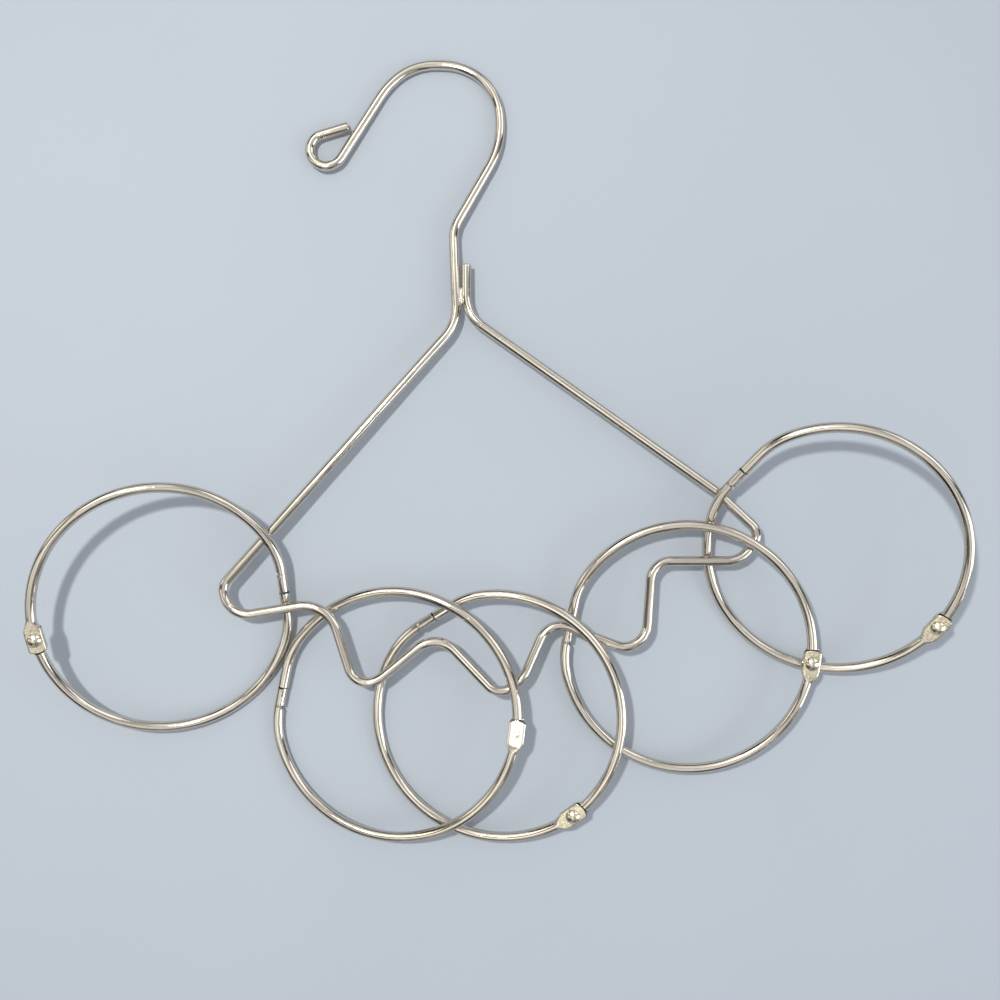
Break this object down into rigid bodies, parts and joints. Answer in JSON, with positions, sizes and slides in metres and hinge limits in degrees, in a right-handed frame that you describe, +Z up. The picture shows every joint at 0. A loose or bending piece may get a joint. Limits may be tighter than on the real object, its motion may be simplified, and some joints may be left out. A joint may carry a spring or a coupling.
{
  "type": "scarf hanger",
  "caption": "Plated wire scarf hanger with a curled hook and a wavy bottom bar that carries hinged split rings, laid flat.",
  "frame": {"origin": "on the surface it lies on, under the middle of its outline", "axes": "+Z up from the surface, +Y towards the hook, +X towards the right shoulder as seen from above with the hook away from the viewer"},
  "size_m": [0.3564, 0.3085, 0.0369],
  "materials": {
    "hanger_plating": "bright nickel plated steel wire",
    "ring_plating": "bright nickel plated steel wire, coined at the pads",
    "rivet_plating": "bright nickel plated steel rivet",
    "weld_plating": "plated weld bead"
  },
  "bodies": {
    "hanger": {"hanger_wire": "hanger_plating", "neck_weld": "weld_plating"},
    "ring_1": {"ring_1_held_half": "ring_plating", "ring_1_rivet": "rivet_plating"},
    "ring_1_gate": {"ring_1_free_half": "ring_plating"},
    "ring_2": {"ring_2_held_half": "ring_plating", "ring_2_rivet": "rivet_plating"},
    "ring_2_gate": {"ring_2_free_half": "ring_plating"},
    "ring_3": {"ring_3_held_half": "ring_plating", "ring_3_rivet": "rivet_plating"},
    "ring_3_gate": {"ring_3_free_half": "ring_plating"},
    "ring_4": {"ring_4_held_half": "ring_plating", "ring_4_rivet": "rivet_plating"},
    "ring_4_gate": {"ring_4_free_half": "ring_plating"},
    "ring_5": {"ring_5_held_half": "ring_plating", "ring_5_rivet": "rivet_plating"},
    "ring_5_gate": {"ring_5_free_half": "ring_plating"}
  },
  "joints": [
    {"name": "ring_1_swing", "type": "hinge", "parent": "hanger", "child": "ring_1", "pos_m": [-0.0828, -0.0616, 0.0071], "axis": [0.1707, 0.968, 0.184], "range_deg": [0, 65]},
    {"name": "ring_1_opening", "type": "hinge", "parent": "ring_1", "child": "ring_1_gate", "pos_m": [-0.17394, -0.07244, 0.02188], "axis": [0.1812, -0.2144, 0.9598], "range_deg": [0, 75]},
    {"name": "ring_2_swing", "type": "hinge", "parent": "hanger", "child": "ring_2", "pos_m": [-0.0658, -0.0636, 0.007], "axis": [-0.8156, -0.5626, -0.1353], "range_deg": [0, 75]},
    {"name": "ring_2_opening", "type": "hinge", "parent": "ring_2", "child": "ring_2_gate", "pos_m": [0.00826, -0.10905, 0.01663], "axis": [-0.1453, -0.0272, 0.989], "range_deg": [0, 75]},
    {"name": "ring_3_swing", "type": "hinge", "parent": "hanger", "child": "ring_3", "pos_m": [-0.044, -0.0886, 0.0043], "axis": [-0.3105, -0.9445, -0.1069], "range_deg": [0, 75]},
    {"name": "ring_3_opening", "type": "hinge", "parent": "ring_3", "child": "ring_3_gate", "pos_m": [0.03029, -0.14228, 0.01038], "axis": [0.1307, 0.0689, -0.989], "range_deg": [0, 75]},
    {"name": "ring_4_swing", "type": "hinge", "parent": "hanger", "child": "ring_4", "pos_m": [0.0294, -0.0689, 0.0068], "axis": [-0.0989, -0.9913, -0.0865], "range_deg": [0, 75]},
    {"name": "ring_4_opening", "type": "hinge", "parent": "ring_4", "child": "ring_4_gate", "pos_m": [0.12224, -0.08271, 0.01307], "axis": [-0.0788, -0.0788, 0.9938], "range_deg": [0, 75]},
    {"name": "ring_5_swing", "type": "hinge", "parent": "hanger", "child": "ring_5", "pos_m": [0.0833, -0.0423, 0.0063], "axis": [0.1491, -0.9633, -0.2233], "range_deg": [0, 75]},
    {"name": "ring_5_opening", "type": "hinge", "parent": "ring_5", "child": "ring_5_gate", "pos_m": [0.1681, -0.06791, 0.02013], "axis": [0.2297, 0.2534, -0.9397], "range_deg": [0, 75]}
  ],
  "couplings": [
    {"joint": "ring_3_swing", "follows": "ring_2_swing", "ratio": 1},
    {"joint": "ring_4_swing", "follows": "ring_2_swing", "ratio": 1},
    {"joint": "ring_5_swing", "follows": "ring_2_swing", "ratio": 1}
  ]
}
